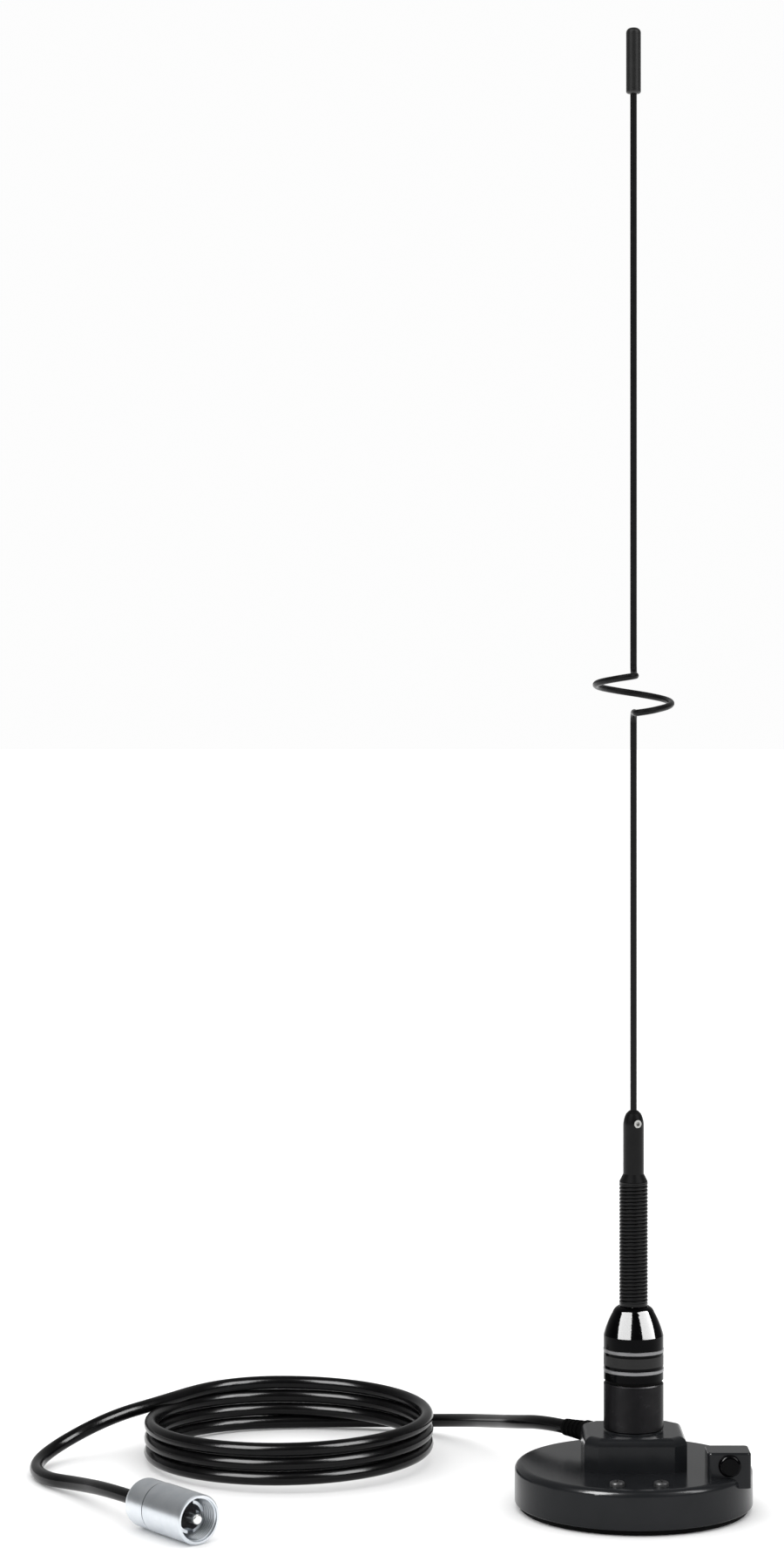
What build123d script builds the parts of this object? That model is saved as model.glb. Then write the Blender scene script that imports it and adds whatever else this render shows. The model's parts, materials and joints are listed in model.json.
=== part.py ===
from build123d import *
import math
import os

# Magnet-mount whip antenna: a round magnetic base with a socket hub, a screw-on antenna base with a
# dome, a shock spring, a whip with one phasing turn, and a coaxial lead that ends in a UHF plug.
# Millimetres, +Z up. Origin: centre of the base's underside. The front of the antenna faces -Y.

os.makedirs("parts", exist_ok=True)

# ---- driving dimensions -------------------------------------------------------------------------

# magnetic base
base_radius = 45.0
foot_height = 2.0
cover_top = 16.8
cover_wall = 2.8
cover_edge_radius = 2.6
cup_radius = 41.5
cup_wall = 2.0
magnet_top = 8.0
cup_top = 9.6
cover_screw_circle = 37.5
cover_screw_angles = (-103.0, -78.0, 77.0, 102.0)

# hub on the base
hub_width = 38.6
hub_depth = 35.0
hub_corner = 5.0
hub_edge_radius = 3.2
hub_top = 29.5
hub_cavity_radius = 13.5
hub_roof = 26.5
hub_screw_offset = 13.3

# UHF socket in the hub (5/8 inch thread, 4 mm contact)
thread_radius = 7.94
socket_bore = 6.0
socket_top = 41.7
contact_radius = 2.0

# coupling sleeve and antenna base
mast_radius = 11.35
sleeve_bottom = 30.0
sleeve_top = 47.6
barrel_bottom = 48.9
barrel_bore = 9.9
dome_start = 65.5
dome_top = 76.3
dome_top_radius = 5.9
dome_shoulder = (8.0, 73.9)
ring_bottoms = (51.8, 59.2)
ring_height = 1.5
ring_groove = 0.65
band_bottom = 54.4
band_top = 58.2

# shock spring
spring_bottom = 76.5
spring_top = 123.6
spring_radius = 5.35
spring_wire = 1.6
spring_groove = 0.35
spring_turns = 34
plug_stud_radius = 3.3

# whip
ferrule_radius = 3.95
ferrule_bottom = 126.4
ferrule_shoulder = 144.6
ferrule_top = 150.3
rod_radius = 1.25
rod_bottom = 128.2
rod_top = 552.0
loop_bottom = 301.2
loop_top = 315.2
loop_radius = 14.2
cap_radius = 2.8
cap_bottom = 535.4
cap_top = 560.5

# coaxial lead (a little thicker than RG-58)
cable_radius = 2.7
gland_height = 25.0
gland_angle = 135.0
gland_end = 34.8
coil_centre = (-132.8, 78.5)
coil_radius = 55.2
coil_pitch = 5.5
coil_turns = 3
coil_start_angle = 95.0

# UHF plug lying on the surface
plug_rear = (-184.0, -28.0, 9.15)
plug_heading = -51.5
nut_radius = 9.15
body_radius = 9.0
body_length = 12.0
nut_start = 12.3
plug_length = 36.0
crown_radius = 6.0
crown_bore = 4.9
crown_end = 30.5
insulator_end = 26.0
pin_end = 35.5


def save(piece, label):
    """Label a finished piece and write it as a STEP file of the same name."""
    piece.part.label = label
    export_step(piece.part, f"parts/{label}.step")


def tube_along(points, radii, radius):
    """A round tube along straight runs joined by tangent arcs."""
    with BuildPart() as tube:
        with BuildLine():
            route = FilletPolyline(*points, radius=radii)
        with BuildSketch(Plane(origin=route @ 0, z_dir=route % 0)):
            Circle(radius)
        sweep()
    return tube, route.length


def corner_radii(points):
    """Largest arc each corner's two runs allow: 0.45 of the shorter run over tan(half the turn)."""
    radii = []
    for before, corner, after in zip(points, points[1:], points[2:]):
        run_in = Vector(corner) - Vector(before)
        run_out = Vector(after) - Vector(corner)
        half_turn = math.radians(run_in.get_angle(run_out)) / 2
        radii.append(0.45 * min(run_in.length, run_out.length) / math.tan(half_turn))
    return radii


# ---- magnetic base ------------------------------------------------------------------------------

# Rubber foot pad under the whole base.
with BuildPart() as foot_pad:
    Cylinder(base_radius - 1.4, foot_height, align=(Align.CENTER, Align.CENTER, Align.MIN))
    fillet(foot_pad.edges().group_by(Axis.Z)[0], 1.2)
save(foot_pad, "foot_pad")

# Ring magnet.
with BuildPart() as magnet_ring:
    with BuildSketch(Plane.XY.offset(foot_height)):
        Circle(38.0)
        Circle(16.0, mode=Mode.SUBTRACT)
    extrude(amount=magnet_top - foot_height)
    chamfer(magnet_ring.edges(), 0.4)
save(magnet_ring, "magnet_ring")

# Steel pole cup over the magnet, with tapped holes for the cover screws.
with BuildPart() as steel_cup:
    with BuildSketch(Plane.XY.offset(foot_height)):
        Circle(cup_radius)
    extrude(amount=cup_top - foot_height)
    with BuildSketch(Plane.XY.offset(foot_height)):
        Circle(cup_radius - cup_wall)
    extrude(amount=magnet_top - foot_height, mode=Mode.SUBTRACT)
    with BuildSketch(Plane.XY.offset(foot_height)):
        for angle in cover_screw_angles:
            with PolarLocations(cover_screw_circle, 1, start_angle=angle):
                Circle(1.5)
    extrude(amount=cup_top, mode=Mode.SUBTRACT)
    fillet(steel_cup.edges().group_by(Axis.Z)[-1].sort_by(SortBy.RADIUS)[-1], 1.0)
save(steel_cup, "steel_cup")

# Outer outline of the cover, revolved once as the cover itself and once to seat the outlet block.
with BuildPart() as cover_outline:
    with BuildSketch(Plane.XY.offset(foot_height)):
        Circle(base_radius)
    extrude(amount=cover_top - foot_height)
    fillet(cover_outline.edges().group_by(Axis.Z)[-1], cover_edge_radius)
    fillet(cover_outline.edges().group_by(Axis.Z)[0], 0.8)

# Moulded base cover: shell with bosses for its screws and holes for the hub's screws.
with BuildPart() as base_cover:
    add(cover_outline.part)
    with BuildSketch(Plane.XY.offset(foot_height)):
        Circle(base_radius - cover_wall)
    extrude(amount=cover_top - foot_height - cover_wall, mode=Mode.SUBTRACT)
    with BuildSketch(Plane.XY.offset(cup_top)):
        for angle in cover_screw_angles:
            with PolarLocations(cover_screw_circle, 1, start_angle=angle):
                Circle(3.2)
    extrude(amount=cover_top - cup_top - 1.0)
    with BuildSketch(Plane.XY.offset(cup_top)):
        for angle in cover_screw_angles:
            with PolarLocations(cover_screw_circle, 1, start_angle=angle):
                Circle(1.6)
        with GridLocations(2 * hub_screw_offset, 2 * hub_screw_offset, 2, 2):
            Circle(1.6)
    extrude(amount=cover_top - cup_top, mode=Mode.SUBTRACT)
save(base_cover, "base_cover")

# Pan-head screws that hold the cover to the steel cup.
with BuildPart() as cover_screws:
    with BuildSketch(Plane.XY.offset(magnet_top + 0.2)):
        for angle in cover_screw_angles:
            with PolarLocations(cover_screw_circle, 1, start_angle=angle):
                Circle(1.5)
    extrude(amount=cover_top - magnet_top - 0.2)
    with BuildSketch(Plane.XY.offset(cover_top)):
        for angle in cover_screw_angles:
            with PolarLocations(cover_screw_circle, 1, start_angle=angle):
                Circle(2.8)
    extrude(amount=1.8)
    fillet(cover_screws.edges().group_by(Axis.Z)[-1], 1.0)
    with BuildSketch(Plane.XY.offset(cover_top + 0.7)):
        for angle in cover_screw_angles:
            with PolarLocations(cover_screw_circle, 1, start_angle=angle):
                Rectangle(2.6, 0.6)
                Rectangle(0.6, 2.6)
    extrude(amount=1.5, mode=Mode.SUBTRACT)
save(cover_screws, "cover_screws")

# ---- hub ----------------------------------------------------------------------------------------

gland_direction = Vector(1, 0, 0).rotate(Axis.Z, gland_angle)
gland_plane = Plane(origin=(0, 0, gland_height), x_dir=(0, 0, 1), z_dir=gland_direction)
gland_face = ((hub_width + hub_depth) / 2 - hub_corner) / math.sqrt(2)

# Hub housing: near-square block with cut corners, hollow under its roof.
with BuildPart() as hub_housing:
    with BuildSketch(Plane.XY.offset(cover_top)) as hub_outline:
        Rectangle(hub_width, hub_depth)
        chamfer(hub_outline.vertices(), hub_corner)
    extrude(amount=hub_top - cover_top)
    fillet(hub_housing.edges().group_by(Axis.Z)[-1], hub_edge_radius)
    with BuildSketch(Plane.XY.offset(cover_top)):
        Circle(hub_cavity_radius)
    extrude(amount=hub_roof - cover_top, mode=Mode.SUBTRACT)
    with BuildSketch(Plane.XY.offset(hub_roof)):
        Circle(thread_radius + 0.1)
    extrude(amount=hub_top - hub_roof, mode=Mode.SUBTRACT)
    with BuildSketch(Plane.XY.offset(cover_top)):
        with GridLocations(2 * hub_screw_offset, 2 * hub_screw_offset, 2, 2):
            Circle(1.25)
    extrude(amount=4.2, mode=Mode.SUBTRACT)
    with BuildSketch(gland_plane.offset(10.0)):
        Circle(3.1)
    extrude(amount=20.0, mode=Mode.SUBTRACT)
save(hub_housing, "hub_housing")

# Screws up through the cover into the hub.
with BuildPart() as hub_screws:
    with BuildSketch(Plane.XY.offset(cover_top - cover_wall - 1.8)):
        with GridLocations(2 * hub_screw_offset, 2 * hub_screw_offset, 2, 2):
            Circle(2.7)
    extrude(amount=1.8)
    with BuildSketch(Plane.XY.offset(cover_top - cover_wall)):
        with GridLocations(2 * hub_screw_offset, 2 * hub_screw_offset, 2, 2):
            Circle(1.25)
    extrude(amount=cover_wall + 4.0)
save(hub_screws, "hub_screws")

# Threaded socket shell, clamped through the hub's roof.
with BuildPart() as socket_shell:
    with BuildSketch(Plane.XY.offset(hub_roof - 2.0)):
        Circle(10.2)
    extrude(amount=2.0)
    with BuildSketch(Plane.XY.offset(hub_roof)):
        Circle(thread_radius)
    extrude(amount=socket_top - hub_roof)
    chamfer(socket_shell.edges().group_by(Axis.Z)[-1], 0.5)
    with BuildSketch(Plane.XY.offset(hub_roof - 2.0)):
        Circle(socket_bore)
    extrude(amount=20.0, mode=Mode.SUBTRACT)
save(socket_shell, "socket_shell")

# Round slotted nut that clamps the socket to the hub's roof.
with BuildPart() as socket_nut:
    with BuildSketch(Plane.XY.offset(hub_top)):
        Circle(9.7)
        Circle(thread_radius, mode=Mode.SUBTRACT)
        with PolarLocations(9.5, 4):
            Rectangle(1.6, 2.0, mode=Mode.SUBTRACT)
    extrude(amount=2.2)
save(socket_nut, "socket_nut")

with BuildPart() as socket_insulator:
    with BuildSketch(Plane.XY.offset(hub_roof - 2.0)):
        Circle(socket_bore)
        Circle(3.0, mode=Mode.SUBTRACT)
    extrude(amount=13.0)
save(socket_insulator, "socket_insulator")

# Slotted contact tube that grips the antenna's pin.
with BuildPart() as socket_contact:
    with BuildSketch(Plane.XY.offset(22.0)):
        Circle(3.0)
    extrude(amount=17.0)
    with BuildSketch(Plane.XY.offset(31.0)):
        Circle(contact_radius + 0.05)
        Rectangle(8.0, 0.5)
        Rectangle(0.5, 8.0)
    extrude(amount=10.0, mode=Mode.SUBTRACT)
save(socket_contact, "socket_contact")

# Gland and tapered boot on the hub's rear left corner.
with BuildPart() as cable_gland:
    with BuildSketch(gland_plane.offset(17.0)):
        Circle(3.1)
    extrude(amount=gland_face - 17.0)
    with BuildSketch(gland_plane.offset(gland_face)):
        Circle(4.3)
    extrude(amount=1.9)
    with BuildSketch(gland_plane.offset(gland_face + 1.9)):
        Circle(3.9)
    with BuildSketch(gland_plane.offset(gland_end)):
        Circle(3.3)
    loft()
    with BuildSketch(gland_plane.offset(17.0)):
        Circle(cable_radius)
    extrude(amount=20.0, mode=Mode.SUBTRACT)
save(cable_gland, "cable_gland")

# The lead's jacketed end inside the gland.
with BuildPart() as cable_inner_end:
    with BuildSketch(gland_plane.offset(14.4)):
        Circle(cable_radius)
    extrude(amount=gland_end - 14.4)
save(cable_inner_end, "cable_inner_end")

# Centre conductor from the jacketed end down and across to the socket contact.
core_points = [
    tuple(gland_direction * 14.4 + Vector(0, 0, gland_height)),
    tuple(gland_direction * 12.2 + Vector(0, 0, gland_height)),
    tuple(gland_direction * 12.0 + Vector(0, 0, 20.2)),
    (0.0, 0.0, 19.2),
    (0.0, 0.0, 22.0),
]
coax_core, _ = tube_along(core_points, [0.8, 1.6, 1.2], 0.5)
save(coax_core, "coax_core")

# ---- outlet block on the base's rim -------------------------------------------------------------

block_low = (26.0, -25.0, 13.0)
block_high = (42.2, -11.5, 26.2)
block_centre = [(low + high) / 2 for low, high in zip(block_low, block_high)]
block_size = [high - low for low, high in zip(block_low, block_high)]
knockout_radius = 4.2
knockout_plane = Plane(
    origin=(block_centre[0], block_low[1], 21.4), x_dir=(1, 0, 0), z_dir=(0, -1, 0)
)

# Block that sits over the cover's edge, with a round knock-out in its front.
with BuildPart() as outlet_block:
    with Locations(tuple(block_centre)):
        Box(*block_size)
    fillet(outlet_block.edges().filter_by(Axis.Z), 1.6)
    fillet(outlet_block.edges().group_by(Axis.Z)[-1], 0.8)
    add(cover_outline.part, mode=Mode.SUBTRACT)
    with BuildSketch(knockout_plane):
        Circle(knockout_radius)
    extrude(amount=-6.0, mode=Mode.SUBTRACT)
save(outlet_block, "outlet_block")

# Push-in plug that closes the knock-out.
with BuildPart() as blanking_plug:
    with BuildSketch(knockout_plane.offset(-5.5)):
        Circle(knockout_radius)
    extrude(amount=5.5)
    with BuildSketch(knockout_plane):
        Circle(knockout_radius)
    extrude(amount=1.6)
    fillet(blanking_plug.edges().filter_by(GeomType.CIRCLE).sort_by(Axis.Y)[0], 1.4)
save(blanking_plug, "blanking_plug")

# ---- coupling sleeve and antenna base -----------------------------------------------------------

# Knurl-free coupling sleeve: captive on the antenna base, screws onto the socket.
with BuildPart() as coupling_sleeve:
    with BuildSketch(Plane.XZ) as sleeve_section:
        with BuildLine():
            Polyline(
                (10.2, sleeve_bottom),
                (mast_radius, sleeve_bottom),
                (mast_radius, sleeve_top),
                (7.3, sleeve_top),
                (7.3, 45.5),
                (9.2, 45.5),
                (9.2, 40.6),
                (thread_radius + 0.2, 40.6),
                (thread_radius + 0.2, 32.6),
                (10.2, 32.6),
                close=True,
            )
        make_face()
    revolve(axis=Axis.Z)
    chamfer(coupling_sleeve.edges().filter_by(GeomType.CIRCLE).group_by(SortBy.RADIUS)[-1], 0.4)
save(coupling_sleeve, "coupling_sleeve")

# Metal core of the antenna base: shoulder that the sleeve pulls down, neck, and upper flange.
with BuildPart() as antenna_core:
    with BuildSketch(Plane.XZ):
        with BuildLine():
            Polyline(
                (5.0, socket_top),
                (8.8, socket_top),
                (8.8, 44.9),
                (7.0, 44.9),
                (7.0, barrel_bottom),
                (barrel_bore, barrel_bottom),
                (barrel_bore, 51.4),
                (5.0, 51.4),
                close=True,
            )
        make_face()
    revolve(axis=Axis.Z)
save(antenna_core, "antenna_core")

with BuildPart() as seal_ring:
    with BuildSketch(Plane.XY.offset(sleeve_top + 0.2)):
        Circle(10.7)
        Circle(7.0, mode=Mode.SUBTRACT)
    extrude(amount=barrel_bottom - sleeve_top - 0.2)
save(seal_ring, "seal_ring")

with BuildPart() as antenna_insulator:
    with BuildSketch(Plane.XY.offset(43.0)):
        Circle(5.0)
        Circle(contact_radius, mode=Mode.SUBTRACT)
    extrude(amount=10.0)
save(antenna_insulator, "antenna_insulator")

with BuildPart() as contact_pin:
    with BuildSketch(Plane.XY.offset(33.0)):
        Circle(contact_radius)
    extrude(amount=21.0)
    chamfer(contact_pin.edges().group_by(Axis.Z)[0], 1.0)
    with BuildSketch(Plane.XY.offset(53.0)):
        Circle(3.2)
    extrude(amount=1.2)
save(contact_pin, "contact_pin")

# Dome housing: thin shell with two trim-ring grooves, a band recess and a closed roof.
outline_points = [(mast_radius, barrel_bottom)]
for low, high, depth in (
    (ring_bottoms[0], ring_bottoms[0] + ring_height, ring_groove),
    (band_bottom, band_top, 0.3),
    (ring_bottoms[1], ring_bottoms[1] + ring_height, ring_groove),
):
    outline_points += [
        (mast_radius, low),
        (mast_radius - depth, low),
        (mast_radius - depth, high),
        (mast_radius, high),
    ]
outline_points.append((mast_radius, dome_start))

with BuildPart() as dome_housing:
    with BuildSketch(Plane.XZ):
        with BuildLine():
            Polyline(*outline_points)
            ThreePointArc((mast_radius, dome_start), (9.8, 70.2), dome_shoulder)
            ThreePointArc(dome_shoulder, (7.2, 75.3), (dome_top_radius, dome_top))
            Polyline(
                (dome_top_radius, dome_top),
                (plug_stud_radius + 0.1, dome_top),
                (plug_stud_radius + 0.1, 72.6),
                (6.6, 72.6),
                (barrel_bore - 0.6, 66.0),
                (barrel_bore - 0.6, 60.7),
                (barrel_bore, 60.7),
                (barrel_bore, barrel_bottom),
                (mast_radius, barrel_bottom),
            )
        make_face()
    revolve(axis=Axis.Z)
save(dome_housing, "dome_housing")

# Bright trim rings.
for label, bottom in zip(("lower_trim_ring", "upper_trim_ring"), ring_bottoms):
    with BuildPart() as trim_ring:
        with BuildSketch(Plane.XY.offset(bottom)):
            Circle(mast_radius + 0.12)
            Circle(mast_radius - ring_groove, mode=Mode.SUBTRACT)
        extrude(amount=ring_height)
        fillet(trim_ring.edges().filter_by(GeomType.CIRCLE).group_by(SortBy.RADIUS)[-1], 0.3)
    save(trim_ring, label)

# Plain band between the rings.
with BuildPart() as plain_band:
    with BuildSketch(Plane.XY.offset(band_bottom)):
        Circle(mast_radius)
        Circle(mast_radius - 0.3, mode=Mode.SUBTRACT)
    extrude(amount=band_top - band_bottom)
save(plain_band, "plain_band")

# Matching coil on its former, between the contact pin and the spring's lower plug.
with BuildPart() as coil_former:
    with BuildSketch(Plane.XY.offset(54.2)):
        Circle(3.6)
    extrude(amount=14.6)
    with BuildSketch(Plane.XY.offset(54.2)):
        Circle(4.8)
    extrude(amount=1.2)
save(coil_former, "coil_former")

with BuildPart() as matching_coil:
    with BuildLine(Plane.XY.offset(57.2)):
        winding = Helix(pitch=2.4, height=9.6, radius=4.3)
    with BuildSketch(Plane(origin=winding @ 0, z_dir=winding % 0)):
        Circle(0.55)
    sweep(is_frenet=True)
save(matching_coil, "matching_coil")

# ---- shock spring -------------------------------------------------------------------------------

# Threaded plug that carries the spring: collar under the dome's roof, stud up into the spring.
with BuildPart() as spring_bottom_plug:
    with BuildSketch(Plane.XY.offset(68.8)):
        Circle(5.2)
    extrude(amount=72.6 - 68.8)
    with BuildSketch(Plane.XY.offset(72.6)):
        Circle(plug_stud_radius)
    extrude(amount=88.0 - 72.6)
    chamfer(spring_bottom_plug.edges().group_by(Axis.Z)[-1], 0.8)
save(spring_bottom_plug, "spring_bottom_plug")

# Close-wound spring as a hollow tube with one rounded ridge per turn.
turn_height = (spring_top - spring_bottom) / spring_turns
with BuildPart() as shock_spring:
    with BuildSketch(Plane.XZ):
        with BuildLine():
            for turn in range(spring_turns):
                low = spring_bottom + turn * turn_height
                ThreePointArc(
                    (spring_radius - spring_groove, low),
                    (spring_radius, low + turn_height / 2),
                    (spring_radius - spring_groove, low + turn_height),
                )
            Polyline(
                (spring_radius - spring_groove, spring_top),
                (spring_radius - spring_wire, spring_top),
                (spring_radius - spring_wire, spring_bottom),
                (spring_radius - spring_groove, spring_bottom),
            )
        make_face()
    revolve(axis=Axis.Z)
save(shock_spring, "shock_spring")

# Flexible braid that carries the signal through the spring.
with BuildPart() as spring_braid:
    with BuildSketch(Plane.XY.offset(88.0)):
        Circle(1.3)
    extrude(amount=113.0 - 88.0)
save(spring_braid, "spring_braid")

# Upper spring plug: stud in the spring and a cone that blends into the ferrule.
with BuildPart() as spring_top_plug:
    with BuildSketch(Plane.XZ):
        with BuildLine():
            Polyline(
                (0, 113.0),
                (plug_stud_radius - 0.7, 113.0),
                (plug_stud_radius, 113.7),
                (plug_stud_radius, spring_top),
                (spring_radius, spring_top),
                (ferrule_radius, ferrule_bottom),
                (0, ferrule_bottom),
                close=True,
            )
        make_face()
    revolve(axis=Axis.Z)
save(spring_top_plug, "spring_top_plug")

# ---- whip ---------------------------------------------------------------------------------------

set_screw_plane = Plane(
    origin=(0, 0, 145.6), x_dir=(0, 0, 1), z_dir=Vector(1, 0, 0).rotate(Axis.Z, -68.0)
)

# Ferrule that grips the whip, with a rounded nose and a cross hole for the set screw.
with BuildPart() as whip_ferrule:
    with BuildSketch(Plane.XZ):
        with BuildLine():
            Polyline(
                (rod_radius + 0.05, ferrule_bottom),
                (ferrule_radius, ferrule_bottom),
                (ferrule_radius, ferrule_shoulder),
            )
            ThreePointArc((ferrule_radius, ferrule_shoulder), (3.6, 147.2), (2.8, 149.2))
            Polyline(
                (2.8, 149.2),
                (1.7, ferrule_top),
                (rod_radius + 0.05, ferrule_top),
                (rod_radius + 0.05, ferrule_bottom),
            )
        make_face()
    revolve(axis=Axis.Z)
    with BuildSketch(set_screw_plane):
        Circle(1.5)
    extrude(amount=6.0, mode=Mode.SUBTRACT)
save(whip_ferrule, "whip_ferrule")

with BuildPart() as ferrule_set_screw:
    with BuildSketch(set_screw_plane.offset(rod_radius + 0.1)):
        Circle(1.5)
    extrude(amount=ferrule_radius - rod_radius - 0.2)
    with BuildSketch(set_screw_plane.offset(ferrule_radius - 1.3)):
        RegularPolygon(0.85, 6)
    extrude(amount=3.0, mode=Mode.SUBTRACT)
save(ferrule_set_screw, "ferrule_set_screw")

# Whip: one wire that leaves the axis, makes one rising turn around it and comes back.
sides = 8
rise = loop_top - loop_bottom
whip_points = [(0, 0, rod_bottom), (0, 0, loop_bottom), (0, -loop_radius, loop_bottom)]
whip_radii = [4.0, 2.8]
for corner in range(sides):
    turn = 360.0 * (corner + 0.5) / sides
    reach = loop_radius / math.cos(math.pi / sides)
    bearing = math.radians(turn - 90.0)
    whip_points.append(
        (reach * math.cos(bearing), reach * math.sin(bearing), loop_bottom + rise * turn / 360.0)
    )
    whip_radii.append(7.0 if corner in (0, sides - 1) else 0.97 * loop_radius)
whip_points += [(0, -loop_radius, loop_top), (0, 0, loop_top), (0, 0, rod_top)]
whip_radii += [2.8, 4.0]
whip_rod, whip_length = tube_along(whip_points, whip_radii, rod_radius)
save(whip_rod, "whip_rod")

with BuildPart() as whip_tip_cap:
    with BuildSketch(Plane.XY.offset(cap_bottom)):
        Circle(cap_radius)
    extrude(amount=cap_top - cap_bottom)
    fillet(whip_tip_cap.edges().group_by(Axis.Z)[-1], 2.0)
    fillet(whip_tip_cap.edges().group_by(Axis.Z)[0], 1.0)
    with BuildSketch(Plane.XY.offset(cap_bottom)):
        Circle(rod_radius)
    extrude(amount=rod_top - cap_bottom, mode=Mode.SUBTRACT)
save(whip_tip_cap, "whip_tip_cap")

# ---- coaxial lead -------------------------------------------------------------------------------


def on_coil(angle, reach, height):
    """A point around the coil's centre."""
    bearing = math.radians(angle)
    return (
        coil_centre[0] + reach * math.cos(bearing),
        coil_centre[1] + reach * math.sin(bearing),
        height,
    )


# From the gland back over the base's edge, down to the surface and into the coil's lowest turn.
lead_exit = gland_direction * gland_end + Vector(0, 0, gland_height)
lead_points = [
    tuple(lead_exit),
    tuple(lead_exit + gland_direction * 11.9),
    (-42.2, 49.5, 21.4),
    (-50.2, 77.0, 15.6),
    (-60.2, 105.5, 9.6),
    (-80.0, 128.5, 4.4),
    (-110.8, 135.85, cable_radius),
    on_coil(coil_start_angle, coil_radius, cable_radius),
]
lead_radii = corner_radii(lead_points)
cable_lead, lead_length = tube_along(lead_points, lead_radii, cable_radius)
save(cable_lead, "cable_lead")

# The coiled stretch: the outer shape of the stacked turns.
coil_top = 2 * cable_radius + (coil_turns - 1) * coil_pitch
with BuildPart() as cable_coil:
    with BuildSketch(Plane(origin=(*coil_centre, 0), x_dir=(1, 0, 0), z_dir=(0, 0, 1))):
        Circle(coil_radius + cable_radius)
        Circle(coil_radius - cable_radius, mode=Mode.SUBTRACT)
    extrude(amount=coil_top)
    fillet(cable_coil.edges(), 2.2)
save(cable_coil, "cable_coil")

# From the coil's top turn off to the left, down to the surface and round to the plug.
plug_direction = Vector(1, 0, 0).rotate(Axis.Z, plug_heading)
tail_top = cable_radius + coil_turns * coil_pitch
tail_points = [
    on_coil(coil_start_angle, coil_radius, tail_top),
    on_coil(106.8, 56.4, 19.4),
    on_coil(129.4, 56.4, 19.1),
    (-185.6, 99.6, 18.2),
    (-204.4, 84.0, 15.8),
    (-224.0, 76.2, 7.0),
    (-233.2, 57.2, cable_radius),
    (-227.2, 34.5, cable_radius),
    (-211.6, 17.0, 3.4),
    tuple(Vector(*plug_rear) - plug_direction * 22.0),
    plug_rear,
]
tail_radii = corner_radii(tail_points)
cable_tail, tail_length = tube_along(tail_points, tail_radii, cable_radius)
save(cable_tail, "cable_tail")

# ---- UHF plug -----------------------------------------------------------------------------------

plug_plane = Plane(origin=plug_rear, x_dir=(0, 0, 1), z_dir=plug_direction)

# Plug body: rear shell, barrel with the nut's retaining flange, and slotted crown.
with BuildPart() as plug_body:
    with BuildSketch(plug_plane):
        Circle(body_radius)
    extrude(amount=body_length)
    fillet(plug_body.edges().filter_by(GeomType.CIRCLE).sort_by_distance(plug_rear)[0], 2.6)
    with BuildSketch(plug_plane.offset(body_length)):
        Circle(6.9)
    extrude(amount=8.0)
    with BuildSketch(plug_plane.offset(18.0)):
        Circle(7.7)
    extrude(amount=2.0)
    with BuildSketch(plug_plane.offset(20.0)):
        Circle(crown_radius)
    extrude(amount=crown_end - 20.0)
    with BuildSketch(plug_plane.offset(14.0)):
        Circle(crown_bore)
    extrude(amount=20.0, mode=Mode.SUBTRACT)
    with BuildSketch(plug_plane.offset(crown_end - 3.2)):
        Rectangle(14.0, 2.4)
        Rectangle(2.4, 14.0)
    extrude(amount=4.0, mode=Mode.SUBTRACT)
save(plug_body, "plug_body")

# Coupling nut, free to turn between the rear shell and the retaining flange.
with BuildPart() as plug_coupling_nut:
    with BuildSketch(plug_plane.offset(nut_start)):
        Circle(nut_radius)
        Circle(7.2, mode=Mode.SUBTRACT)
    extrude(amount=plug_length - nut_start)
    chamfer(
        plug_coupling_nut.edges().filter_by(GeomType.CIRCLE).group_by(SortBy.RADIUS)[-1], 0.4
    )
    with BuildSketch(plug_plane.offset(17.5)):
        Circle(thread_radius + 0.06)
    extrude(amount=20.0, mode=Mode.SUBTRACT)
save(plug_coupling_nut, "plug_coupling_nut")

with BuildPart() as plug_insulator:
    with BuildSketch(plug_plane.offset(14.0)):
        Circle(crown_bore)
        Circle(1.5, mode=Mode.SUBTRACT)
    extrude(amount=insulator_end - 14.0)
save(plug_insulator, "plug_insulator")

# Centre pin: thin stem in the insulator, 4 mm contact in front of it.
with BuildPart() as plug_pin:
    with BuildSketch(plug_plane.offset(14.0)):
        Circle(1.5)
    extrude(amount=insulator_end - 14.0)
    with BuildSketch(plug_plane.offset(insulator_end)):
        Circle(contact_radius)
    extrude(amount=pin_end - insulator_end)
    tip = Vector(*plug_rear) + plug_direction * 60.0
    fillet(plug_pin.edges().filter_by(GeomType.CIRCLE).sort_by_distance(tip)[0], 0.8)
save(plug_pin, "plug_pin")

# ---- numbers ------------------------------------------------------------------------------------

for label, points, radii, length, tube in (
    ("cable_lead", lead_points, lead_radii, lead_length, cable_lead),
    ("cable_tail", tail_points, tail_radii, tail_length, cable_tail),
):
    print(label, "radii", [round(radius, 1) for radius in radii], "length", round(length, 1))
    section = math.pi * cable_radius**2
    print("  volume", round(tube.part.volume), "section x length", round(section * length))
coiled = coil_turns * math.hypot(2 * math.pi * coil_radius, coil_pitch)
print("cord", round(lead_length + coiled + tail_length), "whip wire", round(whip_length))
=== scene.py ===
import json
import math

import bmesh
import bpy
from mathutils import Matrix, Quaternion, Vector


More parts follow.
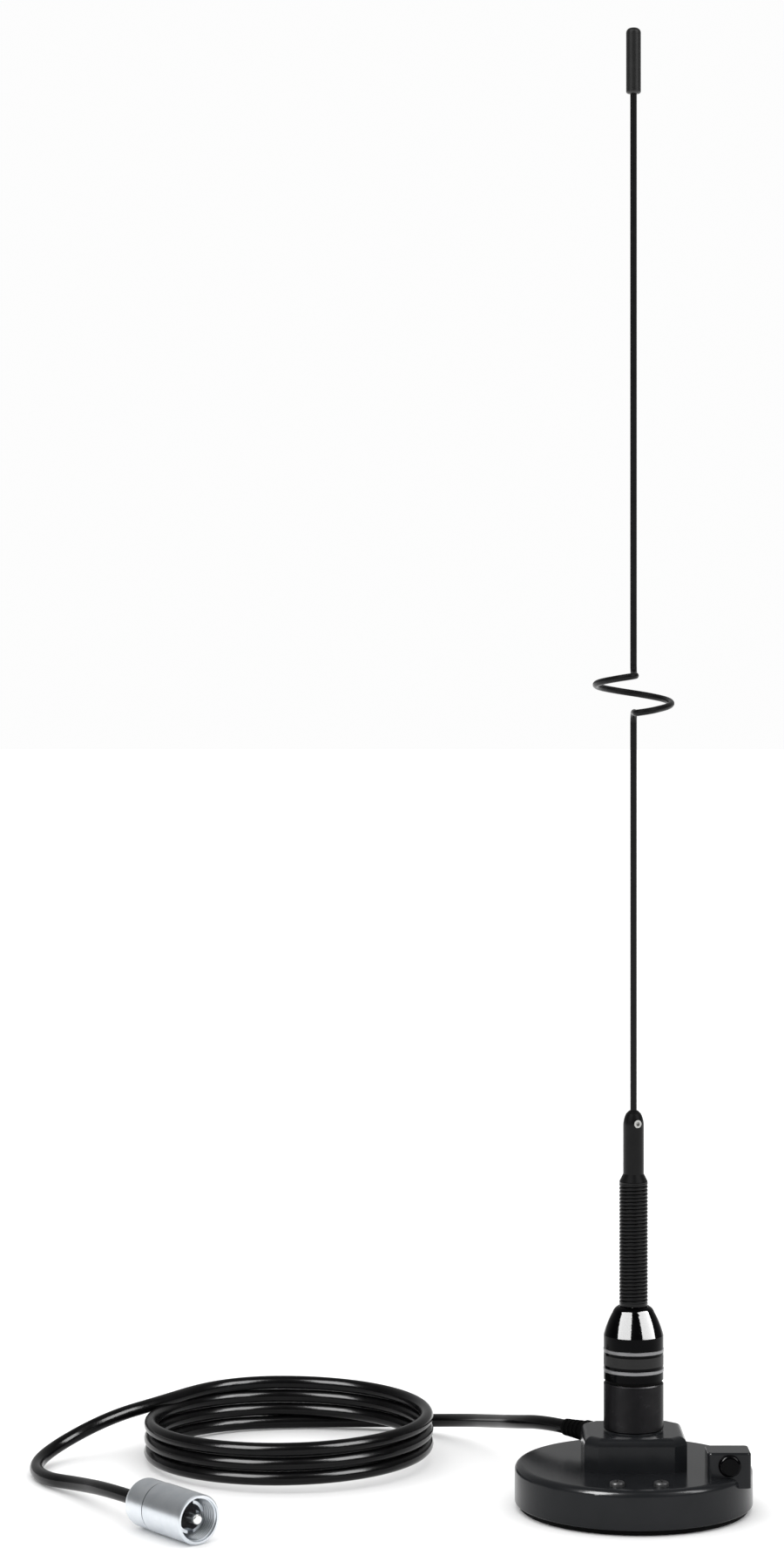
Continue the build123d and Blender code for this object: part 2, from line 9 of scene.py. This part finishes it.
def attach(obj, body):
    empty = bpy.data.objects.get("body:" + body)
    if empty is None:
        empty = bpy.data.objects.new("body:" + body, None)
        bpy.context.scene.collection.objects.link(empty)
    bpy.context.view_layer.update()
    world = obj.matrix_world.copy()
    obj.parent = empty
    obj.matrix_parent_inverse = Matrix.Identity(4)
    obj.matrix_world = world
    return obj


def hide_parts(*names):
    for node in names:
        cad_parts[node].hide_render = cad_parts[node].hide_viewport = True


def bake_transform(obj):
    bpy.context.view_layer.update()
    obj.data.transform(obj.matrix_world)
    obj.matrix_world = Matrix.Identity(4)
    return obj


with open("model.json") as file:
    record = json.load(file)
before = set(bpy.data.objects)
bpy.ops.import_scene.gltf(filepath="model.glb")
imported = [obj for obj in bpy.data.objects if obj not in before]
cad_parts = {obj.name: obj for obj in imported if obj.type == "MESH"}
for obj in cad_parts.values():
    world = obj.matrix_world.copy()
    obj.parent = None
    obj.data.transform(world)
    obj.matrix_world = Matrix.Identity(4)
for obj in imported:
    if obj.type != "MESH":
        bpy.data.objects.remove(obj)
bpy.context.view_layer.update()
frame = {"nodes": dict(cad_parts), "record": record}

MM = 0.001

# Sizes and places that repeat part.py's driving dimensions, in metres.
CABLE_RADIUS = 2.7 * MM
GLAND_HEIGHT = 25.0 * MM
GLAND_END = 34.8 * MM
COIL_CENTRE = Vector((-132.8, 78.5, 0.0)) * MM
COIL_RADIUS = 55.2 * MM
COIL_PITCH = 5.5 * MM
COIL_TURNS = 3
COIL_START_ANGLE = 95.0
PLUG_REAR = Vector((-184.0, -28.0, 9.15)) * MM
PLUG_HEADING = math.radians(-51.5)
PLUG_AXIS = Vector((math.cos(PLUG_HEADING), math.sin(PLUG_HEADING), 0.0))
GLAND_AXIS = Vector((-1.0, 1.0, 0.0)).normalized()
SPRING_LOW = 76.5 * MM
SPRING_HIGH = 123.6 * MM
SPRING_TURNS = 34

# The wound spring is drawn a little wider than part.py's, with thinner wire, so its turns show.
SPRING_RADIUS = 5.45 * MM
SPRING_WIRE = 1.42 * MM


# ---- camera --------------------------------------------------------------------------------------

CAMERA_PLACE = (-0.0915, -1.370, 0.336)
CAMERA_LENS = 83.02
CAMERA_SHIFT_Y = -0.1044


def build_camera():
    """A level camera in front of the antenna, a little above half its height."""
    data = bpy.data.cameras.new("camera")
    camera = bpy.data.objects.new("camera", data)
    bpy.context.scene.collection.objects.link(camera)
    camera.location = CAMERA_PLACE
    camera.rotation_euler = (math.radians(90.0), 0.0, 0.0)
    data.lens = CAMERA_LENS
    data.shift_y = CAMERA_SHIFT_Y
    data.clip_start = 0.01
    data.clip_end = 50.0
    bpy.context.scene.camera = camera


# ---- materials ----------------------------------------------------------------------------------

def new_material(name, colour, roughness, metallic=0.0, specular=0.5):
    """A Principled material with its constants set on the shader."""
    material = bpy.data.materials.new(name)
    material.use_nodes = True
    shader = material.node_tree.nodes["Principled BSDF"]
    shader.inputs["Base Color"].default_value = (*colour, 1.0)
    shader.inputs["Roughness"].default_value = roughness
    shader.inputs["Metallic"].default_value = metallic
    shader.inputs["Specular IOR Level"].default_value = specular
    return material


def node(material, kind, **inputs):
    """A new node in the material, with its input sockets set by name."""
    made = material.node_tree.nodes.new(kind)
    for name, value in inputs.items():
        made.inputs[name.replace("_", " ")].default_value = value
    return made


def link(material, output, target):
    material.node_tree.links.new(output, target)


def noise(material, scale, detail=3.0, stretch=(1.0, 1.0, 1.0)):
    """Noise in object space, one unit per metre, stretched along the axes."""
    place = node(material, "ShaderNodeTexCoord")
    mapping = node(material, "ShaderNodeMapping", Scale=stretch)
    texture = node(material, "ShaderNodeTexNoise", Scale=scale, Detail=detail)
    link(material, place.outputs["Object"], mapping.inputs["Vector"])
    link(material, mapping.outputs["Vector"], texture.inputs["Vector"])
    return texture.outputs["Fac"]


def spread(material, value, low, high):
    """Maps a 0 to 1 value to the range low to high."""
    ranged = node(material, "ShaderNodeMapRange", To_Min=low, To_Max=high)
    link(material, value, ranged.inputs["Value"])
    return ranged.outputs["Result"]


def vary_roughness(material, value, low, high):
    shader = material.node_tree.nodes["Principled BSDF"]
    link(material, spread(material, value, low, high), shader.inputs["Roughness"])


def vary_colour(material, value, dark, light):
    shader = material.node_tree.nodes["Principled BSDF"]
    ramp = node(material, "ShaderNodeValToRGB")
    ramp.color_ramp.elements[0].position = 0.3
    ramp.color_ramp.elements[0].color = (*dark, 1.0)
    ramp.color_ramp.elements[1].position = 0.7
    ramp.color_ramp.elements[1].color = (*light, 1.0)
    link(material, value, ramp.inputs["Fac"])
    link(material, ramp.outputs["Color"], shader.inputs["Base Color"])


def add_bump(material, value, depth, strength=1.0):
    """Bump of that depth in metres."""
    shader = material.node_tree.nodes["Principled BSDF"]
    bump = node(material, "ShaderNodeBump", Strength=strength, Distance=depth)
    link(material, value, bump.inputs["Height"])
    link(material, bump.outputs["Normal"], shader.inputs["Normal"])


def moulded_plastic(name, dark, light, roughness, specular, grain):
    """Satin moulded plastic: fine spark-eroded grain and slow mottling."""
    material = new_material(name, light, roughness, specular=specular)
    cloud = noise(material, 60.0)
    vary_colour(material, cloud, dark, light)
    vary_roughness(material, cloud, roughness - 0.04, roughness + 0.05)
    add_bump(material, noise(material, 2600.0, 2.0), grain)
    return material


def turned_metal(name, dark, light, roughness, line_depth, axis_stretch=(1.0, 1.0, 9000.0)):
    """Metal with fine turned lines across its axis."""
    material = new_material(name, light, roughness, metallic=1.0)
    cloud = noise(material, 140.0)
    vary_colour(material, cloud, dark, light)
    vary_roughness(material, cloud, roughness - 0.05, roughness + 0.06)
    add_bump(material, noise(material, 1.0, 2.0, axis_stretch), line_depth)
    return material


def coated_metal(name, colour, roughness, specular, grain=0.00001):
    """Black coating over metal, smooth with a slight orange peel."""
    material = new_material(name, colour, roughness, specular=specular)
    cloud = noise(material, 220.0)
    lighter = tuple(1.5 * channel for channel in colour)
    vary_colour(material, cloud, colour, lighter)
    vary_roughness(material, cloud, roughness - 0.03, roughness + 0.04)
    add_bump(material, noise(material, 1500.0, 2.0), grain)
    return material


def build_materials():
    made = {
        "satin_black": moulded_plastic(
            "satin_black", (0.0088, 0.0096, 0.0106), (0.0115, 0.012, 0.0134), 0.19, 0.14, 0.000006
        ),
        "gloss_black": coated_metal("gloss_black", (0.0010, 0.0010, 0.0012), 0.07, 0.05),
        "sleeve_black": coated_metal("sleeve_black", (0.0030, 0.0028, 0.0034), 0.26, 0.04),
        "bright_trim": turned_metal(
            "bright_trim", (0.20, 0.20, 0.205), (0.26, 0.26, 0.265), 0.34, 0.000003
        ),
        "band_grey": moulded_plastic(
            "band_grey", (0.014, 0.014, 0.014), (0.020, 0.020, 0.020), 0.40, 0.14, 0.00001
        ),
        "spring_black": coated_metal("spring_black", (0.0015, 0.0015, 0.0017), 0.28, 0.22),
        "whip_black": coated_metal("whip_black", (0.003, 0.003, 0.0032), 0.32, 0.16),
        "cap_black": coated_metal("cap_black", (0.006, 0.006, 0.006), 0.30, 0.50),
        "screw_black": coated_metal("screw_black", (0.016, 0.016, 0.017), 0.42, 0.30),
        "rubber": moulded_plastic(
            "rubber", (0.0014, 0.0014, 0.0014), (0.002, 0.002, 0.002), 0.62, 0.05, 0.00004
        ),
        "cable_jacket": coated_metal("cable_jacket", (0.0022, 0.0022, 0.0024), 0.17, 0.14, 0.00002),
        "nickel": turned_metal("nickel", (0.64, 0.68, 0.72), (0.76, 0.79, 0.82), 0.30, 0.000004),
        "plated_steel": turned_metal(
            "plated_steel", (0.44, 0.44, 0.43), (0.56, 0.56, 0.54), 0.36, 0.00001
        ),
        "magnet": moulded_plastic(
            "magnet", (0.02, 0.02, 0.021), (0.035, 0.035, 0.036), 0.6, 0.4, 0.00005
        ),
        "white_insulator": moulded_plastic(
            "white_insulator", (0.72, 0.72, 0.70), (0.82, 0.82, 0.80), 0.38, 0.5, 0.00001
        ),
        "plug_insulator": moulded_plastic(
            "plug_insulator", (0.012, 0.010, 0.012), (0.02, 0.018, 0.02), 0.4, 0.2, 0.00001
        ),
        "plug_contact": turned_metal(
            "plug_contact", (0.80, 0.80, 0.79), (0.90, 0.90, 0.88), 0.20, 0.000002
        ),
        "brass": turned_metal("brass", (0.52, 0.36, 0.13), (0.66, 0.47, 0.18), 0.28, 0.000005),
        "copper": turned_metal("copper", (0.60, 0.25, 0.13), (0.74, 0.33, 0.18), 0.30, 0.000005),
        "floor": new_material("floor", (0.93, 0.93, 0.93), 1.0, specular=0.0),
    }
    return made


def paint(piece, material):
    """Gives a piece or a CAD node one material."""
    piece.data.materials.clear()
    piece.data.materials.append(material)


def paint_nodes(materials):
    """Each CAD node gets the material of its slot in the record."""
    slots = {entry["node"]: entry["material_slot"] for entry in frame["record"]["subparts"]}
    for name, cad in frame["nodes"].items():
        material = materials[slots[name]]
        for index in range(len(cad.material_slots)):
            cad.material_slots[index].material = material


# ---- mesh helpers -------------------------------------------------------------------------------

def add_piece(name, bm, material, smooth_angle=40.0):
    """Makes an object of a bmesh, shaded smooth except across sharp edges."""
    bmesh.ops.recalc_face_normals(bm, faces=bm.faces)
    limit = math.radians(smooth_angle)
    for face in bm.faces:
        face.smooth = True
    for edge in bm.edges:
        if len(edge.link_faces) == 2:
            edge.smooth = edge.calc_face_angle() < limit
    mesh = bpy.data.meshes.new(name)
    bm.to_mesh(mesh)
    bm.free()
    piece = bpy.data.objects.new(name, mesh)
    bpy.context.scene.collection.objects.link(piece)
    paint(piece, material)
    return piece


def axis_frame(origin, direction):
    """Matrix that takes +Z at the origin to that direction at that point."""
    return Matrix.Translation(origin) @ direction.to_track_quat("Z", "X").to_matrix().to_4x4()


def add_rings(bm, rings, closed=False):
    """Joins rings of vertices, one after the other, with quads, and caps open ends."""
    made = [[bm.verts.new(point) for point in ring] for ring in rings]
    pairs = list(zip(made, made[1:]))
    if closed:
        pairs.append((made[-1], made[0]))
    for low, high in pairs:
        for index in range(len(low)):
            after = (index + 1) % len(low)
            bm.faces.new((low[index], low[after], high[after], high[index]))
    if not closed:
        bm.faces.new(reversed(made[0]))
        bm.faces.new(made[-1])


def add_lathe(bm, profile, place=Matrix(), sides=96):
    """Turns a closed profile of (radius, height) points about +Z, then moves it to its place."""
    rings = []
    for side in range(sides):
        turn = 2 * math.pi * side / sides
        rings.append([
            place @ Vector((radius * math.cos(turn), radius * math.sin(turn), height))
            for radius, height in profile
        ])
    add_rings(bm, rings, closed=True)


def add_tube(bm, points, radius, sides=12):
    """A round tube along points, with a frame that doesn't twist."""
    rings = []
    ahead = (points[1] - points[0]).normalized()
    across = ahead.orthogonal().normalized()
    for index, point in enumerate(points):
        low = points[max(index - 1, 0)]
        high = points[min(index + 1, len(points) - 1)]
        ahead = (high - low).normalized()
        across = (across - ahead * across.dot(ahead)).normalized()
        up = ahead.cross(across)
        ring = []
        for side in range(sides):
            turn = 2 * math.pi * side / sides
            ring.append(point + radius * (across * math.cos(turn) + up * math.sin(turn)))
        rings.append(ring)
    add_rings(bm, rings)


# ---- coaxial lead -------------------------------------------------------------------------------

def on_coil(angle, reach, height):
    """A point around the coil's centre."""
    bearing = math.radians(angle)
    return COIL_CENTRE + Vector((reach * math.cos(bearing), reach * math.sin(bearing), height))


def lead_route():
    """The route's points: part.py's, but the last rise to the plug is a little straighter."""
    start = GLAND_AXIS * GLAND_END + Vector((0.0, 0.0, GLAND_HEIGHT))
    lead = [
        start,
        start + GLAND_AXIS * 0.0119,
        Vector((-0.0422, 0.0495, 0.0214)),
        Vector((-0.0502, 0.0770, 0.0156)),
        Vector((-0.0602, 0.1055, 0.0096)),
        Vector((-0.0800, 0.1285, 0.0044)),
        Vector((-0.1108, 0.13585, CABLE_RADIUS)),
    ]
    steps = 16
    reach = COIL_RADIUS / math.cos(math.pi / steps)
    coil = []
    for step in range(COIL_TURNS * steps):
        turns = (step + 0.5) / steps
        angle = COIL_START_ANGLE + 360.0 * turns
        coil.append(on_coil(angle, reach, CABLE_RADIUS + COIL_PITCH * turns))
    tail = [
        on_coil(106.8, 0.0564, 0.0194),
        on_coil(129.4, 0.0564, 0.0191),
        Vector((-0.1856, 0.0996, 0.0182)),
        Vector((-0.2044, 0.0840, 0.0158)),
        Vector((-0.2240, 0.0762, 0.0070)),
        Vector((-0.2332, 0.0572, CABLE_RADIUS)),
        Vector((-0.2272, 0.0345, CABLE_RADIUS)),
        Vector((-0.2116, 0.0170, 0.0048)),
        PLUG_REAR - PLUG_AXIS * 0.022,
        PLUG_REAR,
    ]
    return lead + coil + tail


def build_cable(material):
    """The whole lead as one smooth curve from the gland through the coil to the plug."""
    points = lead_route()
    curve = bpy.data.curves.new("cable", "CURVE")
    curve.dimensions = "3D"
    spline = curve.splines.new("NURBS")
    spline.points.add(len(points) - 1)
    for target, point in zip(spline.points, points):
        target.co = (*point, 1.0)
    spline.order_u = 3
    spline.use_endpoint_u = True
    spline.resolution_u = 12
    curve.bevel_depth = CABLE_RADIUS
    curve.bevel_resolution = 8
    curve.use_fill_caps = True
    cable = bpy.data.objects.new("cable", curve)
    bpy.context.scene.collection.objects.link(cable)
    paint(cable, material)
    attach(cable, "base")
    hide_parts("cable_lead", "cable_coil", "cable_tail")
    return cable, points


# ---- shock spring -------------------------------------------------------------------------------

SPRING_SPLIT = 101.0 * MM
LOWER_BEND = 85.0 * MM
UPPER_BEND = 117.0 * MM
SEAT_HEIGHT = 1.5 * MM
BRAID_LOW = 88.0 * MM
BRAID_HIGH = 113.0 * MM

# The bodies that each half of the spring joins, and the heights that its bend lies between.
LOWER_HALF = ("base", "spring", LOWER_BEND, SPRING_SPLIT)
UPPER_HALF = ("spring", "ferrule", SPRING_SPLIT, UPPER_BEND)


def spring_line(low, high, steps=40):
    """Points of the spring's wire between two heights."""
    mean = SPRING_RADIUS - SPRING_WIRE / 2
    first = SPRING_LOW + SPRING_WIRE / 2
    last = SPRING_HIGH - SPRING_WIRE / 2
    pitch = (last - first) / (SPRING_TURNS - 1)
    count = (SPRING_TURNS - 1) * steps
    line = []
    for step in range(count + 1):
        height = first + pitch * step / steps
        if low - 1e-9 <= height <= high + 1e-9:
            turn = 2 * math.pi * step / steps
            line.append(Vector((mean * math.cos(turn), mean * math.sin(turn), height)))
    return line


def spring_seat(bottom):
    """Section of the flat ring that closes an end of the spring."""
    inner = SPRING_RADIUS - SPRING_WIRE
    outer = SPRING_RADIUS - 0.12 * MM
    return [
        (inner, bottom),
        (outer - 0.2 * MM, bottom),
        (outer, bottom + 0.2 * MM),
        (outer, bottom + SEAT_HEIGHT - 0.2 * MM),
        (outer - 0.2 * MM, bottom + SEAT_HEIGHT),
        (inner, bottom + SEAT_HEIGHT),
    ]


def build_spring(material):
    """The spring's wire in two halves, split at SPRING_SPLIT, each with a flat seat ring at its
    outer end.
    """
    halves = (
        ("shock_spring_lower", SPRING_LOW, SPRING_SPLIT, *LOWER_HALF),
        ("shock_spring_upper", SPRING_SPLIT, SPRING_HIGH, *UPPER_HALF),
    )
    for name, low, high, below, above, start, end in halves:
        bm = bmesh.new()
        add_tube(bm, spring_line(low, high), SPRING_WIRE / 2, sides=16)
        seat = low if low == SPRING_LOW else high - SEAT_HEIGHT
        add_lathe(bm, spring_seat(seat))
        piece = add_piece(name, bm, material)
        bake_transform(piece)
        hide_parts("shock_spring")


def build_braid(material):
    """Woven copper braid inside the spring: strands wound both ways round a core."""
    halves = (
        ("spring_braid_lower", BRAID_LOW, SPRING_SPLIT, *LOWER_HALF),
        ("spring_braid_upper", SPRING_SPLIT, BRAID_HIGH, *UPPER_HALF),
    )
    strands = 8
    steps = 48
    lay_length = 9.0 * MM
    wire = 0.12 * MM
    mean = 1.12 * MM
    core_radius = 0.95 * MM
    core_steps = 12
    for name, low, high, below, above, start, end in halves:
        bm = bmesh.new()
        for strand in range(strands):
            for hand in (-1, 1):
                line = []
                for step in range(steps + 1):
                    height = low + (high - low) * step / steps
                    laid = hand * (height - BRAID_LOW) / lay_length
                    turn = 2 * math.pi * (strand / strands + laid)
                    reach = mean + hand * 0.06 * MM
                    line.append(Vector((reach * math.cos(turn), reach * math.sin(turn), height)))
                add_tube(bm, line, wire, sides=6)
        core = [
            Vector((0, 0, low + (high - low) * step / core_steps))
            for step in range(core_steps + 1)
        ]
        add_tube(bm, core, core_radius, sides=16)
        piece = add_piece(name, bm, material)
        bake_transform(piece)
        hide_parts("spring_braid")


# ---- small parts --------------------------------------------------------------------------------

def build_seat_ring(material):
    """Low moulded ring on the hub's roof that the coupling sleeve comes down to."""
    bm = bmesh.new()
    add_lathe(bm, [
        (9.80 * MM, 29.48 * MM),
        (11.20 * MM, 29.48 * MM),
        (11.05 * MM, 29.90 * MM),
        (9.80 * MM, 29.90 * MM),
    ])
    ring = add_piece("hub_seat_ring", bm, material)
    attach(ring, "base")


# The boot's outline, as (distance along its axis, radius) in millimetres: a collar, then four ribs.
GLAND_STATIONS = (
    (22.0, 4.25), (23.9, 4.25), (24.3, 3.85), (25.2, 3.85),
    (25.4, 3.45), (26.2, 3.45), (26.4, 3.75), (27.4, 3.70),
    (27.6, 3.30), (28.4, 3.30), (28.6, 3.60), (29.6, 3.52),
    (29.8, 3.15), (30.6, 3.15), (30.8, 3.42), (31.8, 3.34),
    (32.0, 3.05), (32.8, 3.05), (33.0, 3.32), (34.4, 3.20), (34.8, 2.95),
)


def build_gland(material):
    """Tapered boot with grip ribs, from the hub's cut corner to where the lead is free."""
    bm = bmesh.new()
    place = axis_frame(Vector((0.0, 0.0, GLAND_HEIGHT)), GLAND_AXIS)
    bore = CABLE_RADIUS + 0.02 * MM
    profile = [(radius * MM, along * MM) for along, radius in GLAND_STATIONS]
    profile += [(bore, GLAND_STATIONS[-1][0] * MM), (bore, GLAND_STATIONS[0][0] * MM)]
    add_lathe(bm, profile, place, sides=64)
    boot = add_piece("cable_boot", bm, material, smooth_angle=50.0)
    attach(boot, "base")
    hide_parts("cable_gland")


def build_nut_thread(material):
    """Thread inside the plug's coupling nut, 24 turns to the inch."""
    bm = bmesh.new()
    place = axis_frame(PLUG_REAR, PLUG_AXIS)
    turns = 15
    steps = 40
    pitch = 25.4 * MM / 24
    reach = 7.86 * MM
    start = 19.2 * MM
    ridge_radius = 0.42 * MM
    line = []
    for step in range(turns * steps + 1):
        turn = 2 * math.pi * step / steps
        height = start + pitch * step / steps
        line.append(place @ Vector((reach * math.cos(turn), reach * math.sin(turn), height)))
    add_tube(bm, line, ridge_radius, sides=8)
    thread = add_piece("plug_nut_thread", bm, material, smooth_angle=60.0)
    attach(thread, "plug_nut")
    return thread


# ---- studio -------------------------------------------------------------------------------------

def build_floor(material):
    """Plain pale floor, just below the part so that the two never share a plane."""
    bm = bmesh.new()
    half = 8.0
    drop = 0.2 * MM
    corners = ((-half, -half), (half, -half), (half, half), (-half, half))
    bm.faces.new([bm.verts.new((x, y, -drop)) for x, y in corners])
    add_piece("studio_floor", bm, material)


def add_panel(
    name, bearing, height_angle, distance, width, height, radiance, reflected_only, lit=(), roll=0.0
):
    """A soft light panel aimed at the antenna.

    bearing is in degrees to the right of the camera's side. With lit given, the panel lights only
    those objects. roll turns it in its own plane, in degrees.
    """
    target = Vector((0.0, 0.0, 0.08))
    turn = math.radians(bearing)
    lift = math.radians(height_angle)
    away = Vector((
        math.sin(turn) * math.cos(lift),
        -math.cos(turn) * math.cos(lift),
        math.sin(lift),
    ))
    data = bpy.data.lights.new(name, "AREA")
    data.shape = "RECTANGLE"
    data.size = width
    data.size_y = height
    data.energy = radiance * math.pi * width * height
    lamp = bpy.data.objects.new(name, data)
    bpy.context.scene.collection.objects.link(lamp)
    lamp.location = target + away * distance
    aim = (-away).to_track_quat("-Z", "Y") @ Quaternion((0.0, 0.0, 1.0), math.radians(roll))
    lamp.rotation_euler = aim.to_euler()
    lamp.visible_camera = False
    lamp.visible_diffuse = not reflected_only
    if lit:
        receivers = bpy.data.collections.new(name + "_receivers")
        for piece in lit:
            receivers.objects.link(piece)
        lamp.light_linking.receiver_collection = receivers


GLOSSY_NODES = ("dome_housing", "coupling_sleeve")
MOULDED_NODES = ("base_cover", "hub_housing", "outlet_block", "blanking_plug", "cover_screws")


def build_studio(cable):
    """Panels that show only as reflections, a soft key light and an even surround."""
    glossy = [frame["nodes"][name] for name in GLOSSY_NODES]
    moulded = [frame["nodes"][name] for name in MOULDED_NODES]
    panels = (
        ("panel_left", -46.0, 34.0, 3.0, 2.90, 2.8, 185.0, True, glossy, 18.0),
        ("panel_right", 66.0, 34.0, 3.0, 3.20, 2.8, 185.0, True, glossy, -18.0),
        ("strip_left", -43.0, 38.0, 3.0, 1.1, 2.0, 62.0, True, moulded),
        ("strip_right", 66.0, 38.0, 3.0, 0.7, 1.8, 22.0, True, moulded),
        ("cable_left", -45.0, 38.0, 3.0, 1.8, 2.2, 30.0, True, [cable]),
        ("cable_right", 55.0, 38.0, 3.0, 1.8, 2.2, 30.0, True, [cable]),
        ("glow_left", -45.0, 40.0, 3.1, 2.4, 3.0, 0.9, True),
        ("glow_right", 55.0, 40.0, 3.1, 2.4, 3.0, 1.2, True),
        ("key", -30.0, 62.0, 2.2, 1.4, 1.4, 0.5, False),
    )
    for panel in panels:
        add_panel(*panel)
    world = bpy.data.worlds.new("studio")
    bpy.context.scene.world = world
    world.use_nodes = True
    tree = world.node_tree
    shader = tree.nodes["Background"]
    place = tree.nodes.new("ShaderNodeTexCoord")
    axes = tree.nodes.new("ShaderNodeSeparateXYZ")
    tree.links.new(place.outputs["Generated"], axes.inputs["Vector"])
    behind = tree.nodes.new("ShaderNodeMapRange")
    behind.interpolation_type = "SMOOTHSTEP"
    behind.inputs["From Min"].default_value = -0.1
    behind.inputs["From Max"].default_value = 0.9
    behind.inputs["To Min"].default_value = 0.10
    behind.inputs["To Max"].default_value = 0.42
    tree.links.new(axes.outputs["Y"], behind.inputs["Value"])
    rays = tree.nodes.new("ShaderNodeLightPath")
    surround = tree.nodes.new("ShaderNodeMix")
    surround.data_type = "FLOAT"
    surround.inputs["A"].default_value = 1.40
    surround.inputs["B"].default_value = 0.98
    tree.links.new(rays.outputs["Is Camera Ray"], surround.inputs["Factor"])
    level = tree.nodes.new("ShaderNodeMix")
    level.data_type = "FLOAT"
    tree.links.new(rays.outputs["Is Glossy Ray"], level.inputs["Factor"])
    tree.links.new(surround.outputs["Result"], level.inputs["A"])
    tree.links.new(behind.outputs["Result"], level.inputs["B"])
    shader.inputs["Color"].default_value = (1.0, 1.0, 1.0, 1.0)
    tree.links.new(level.outputs["Result"], shader.inputs["Strength"])
    bpy.context.scene.view_settings.view_transform = "Standard"


# ---- build --------------------------------------------------------------------------------------

build_camera()
materials = build_materials()
paint_nodes(materials)
cable, cable_points = build_cable(materials["cable_jacket"])
build_spring(materials["spring_black"])
build_braid(materials["copper"])
build_seat_ring(materials["satin_black"])
build_gland(materials["rubber"])
thread = build_nut_thread(materials["nickel"])
build_floor(materials["floor"])
build_studio(cable)
